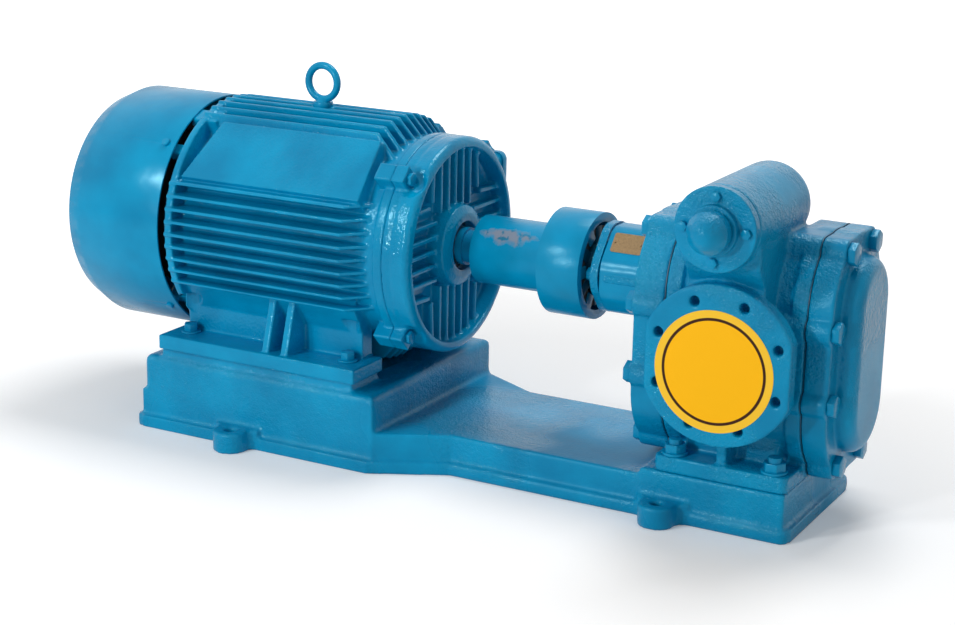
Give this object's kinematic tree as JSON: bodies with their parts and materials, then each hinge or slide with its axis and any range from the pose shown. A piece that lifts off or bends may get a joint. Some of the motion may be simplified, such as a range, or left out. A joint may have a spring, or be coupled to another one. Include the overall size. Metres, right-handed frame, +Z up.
{
  "type": "gear pump set",
  "caption": "Flanged external gear pump driven by a finned foot motor through a claw coupling, on one cast base with anchor ears.",
  "frame": {"origin": "on the base's underside, straight below the shaft line and the centre of both ports", "axes": "+X from the motor to the pump along the shafts, -Y towards the inlet port, +Z up"},
  "size_m": [1.228, 0.5213, 0.5533],
  "materials": {
    "enamel_cast": "gloss",
    "enamel_sheet": "gloss",
    "enamel_coupling": "gloss",
    "shaft_steel": "satin",
    "bolt_steel": "gloss",
    "cast_iron": "matte",
    "core_steel": "matte",
    "copper": "satin",
    "bronze": "satin",
    "rubber": "matte",
    "fan_plastic": "matte",
    "board_resin": "matte",
    "gasket_sheet": "matte",
    "packing_yarn": "matte"
  },
  "bodies": {
    "set": {"base_plate": "enamel_cast", "motor_frame": "enamel_cast", "drive_end_shield": "enamel_cast", "fan_end_shield": "enamel_cast", "stator_core": "core_steel", "stator_winding": "copper", "motor_bearing_drive_end": "shaft_steel", "motor_bearing_fan_end": "shaft_steel", "fan_cowl": "enamel_sheet", "cowl_screws": "bolt_steel", "eyebolt": "enamel_sheet", "terminal_box": "enamel_sheet", "terminal_box_lid": "enamel_sheet", "terminal_box_screws": "bolt_steel", "terminal_board": "board_resin", "cable_gland": "fan_plastic", "shield_bolts_drive_end": "bolt_steel", "shield_bolts_fan_end": "bolt_steel", "motor_foot_bolts": "bolt_steel", "motor_foot_washers": "bolt_steel", "pump_casing": "enamel_cast", "front_cover": "enamel_cast", "rear_cover": "enamel_cast", "front_gasket": "gasket_sheet", "rear_gasket": "gasket_sheet", "front_cover_bolts": "bolt_steel", "rear_cover_bolts": "bolt_steel", "bearing_block_front": "cast_iron", "bearing_block_rear": "cast_iron", "shaft_bushes": "bronze", "packing_rings": "packing_yarn", "gland_studs": "shaft_steel", "pump_foot_studs": "bolt_steel", "pump_foot_nuts": "bolt_steel", "valve_seat": "bronze", "valve_cover": "enamel_cast", "valve_cover_bolts": "bolt_steel", "adjuster_lock_nut": "shaft_steel"},
    "rotor": {"motor_shaft": "shaft_steel", "rotor_core": "core_steel", "cooling_fan": "fan_plastic", "coupling_key_motor": "shaft_steel", "coupling_motor_half": "enamel_coupling", "coupling_spider": "rubber"},
    "drive": {"drive_shaft": "shaft_steel", "drive_gear": "shaft_steel", "drive_gear_key": "shaft_steel", "coupling_pump_half": "enamel_coupling", "coupling_key_pump": "shaft_steel"},
    "driven": {"driven_shaft": "shaft_steel", "driven_gear": "shaft_steel", "driven_gear_key": "shaft_steel"},
    "gland": {"gland_follower": "enamel_cast", "gland_nuts": "shaft_steel"},
    "poppet": {"valve_poppet": "bronze"},
    "spring_plate": {"spring_seat": "shaft_steel", "valve_spring": "shaft_steel"},
    "adjuster": {"adjusting_screw": "shaft_steel"},
    "cap": {"valve_cap": "enamel_cast"}
  },
  "joints": [
    {"name": "motor_spin", "type": "hinge", "parent": "set", "child": "rotor", "pos_m": [-0.687, 0, 0.306], "axis": [1, 0, 0], "continuous": true},
    {"name": "pump_drive_spin", "type": "hinge", "parent": "set", "child": "drive", "pos_m": [0, 0, 0.306], "axis": [1, 0, 0], "continuous": true},
    {"name": "driven_gear_spin", "type": "hinge", "parent": "set", "child": "driven", "pos_m": [0, 0, 0.17], "axis": [1, 0, 0], "continuous": true},
    {"name": "gland_slide", "type": "slide", "parent": "set", "child": "gland", "axis": [-1, 0, 0], "range_m": [0, 0.003]},
    {"name": "relief_lift", "type": "slide", "parent": "set", "child": "poppet", "axis": [0, -1, 0], "range_m": [0, 0.008], "stiffness_N_per_m": 3000, "springref_m": -0.01, "deforming": ["valve_spring"]},
    {"name": "adjuster_turn", "type": "hinge", "parent": "spring_plate", "child": "adjuster", "pos_m": [0, -0.15, 0.426], "axis": [0, 1, 0], "range_deg": [-1085, 1085]},
    {"name": "spring_plate_slide", "type": "slide", "parent": "set", "child": "spring_plate", "axis": [0, 1, 0], "range_m": [-0.006, 0.006], "deforming": ["valve_spring"]},
    {"name": "cap_lift_off", "type": "slide", "parent": "set", "child": "cap", "axis": [0, -1, 0], "range_m": [0, 0.045]}
  ],
  "couplings": [
    {"joint": "pump_drive_spin", "follows": "motor_spin", "ratio": 1},
    {"joint": "driven_gear_spin", "follows": "motor_spin", "ratio": -1},
    {"joint": "adjuster_turn", "follows": "spring_plate_slide", "rad_per_m": 3141.6}
  ]
}
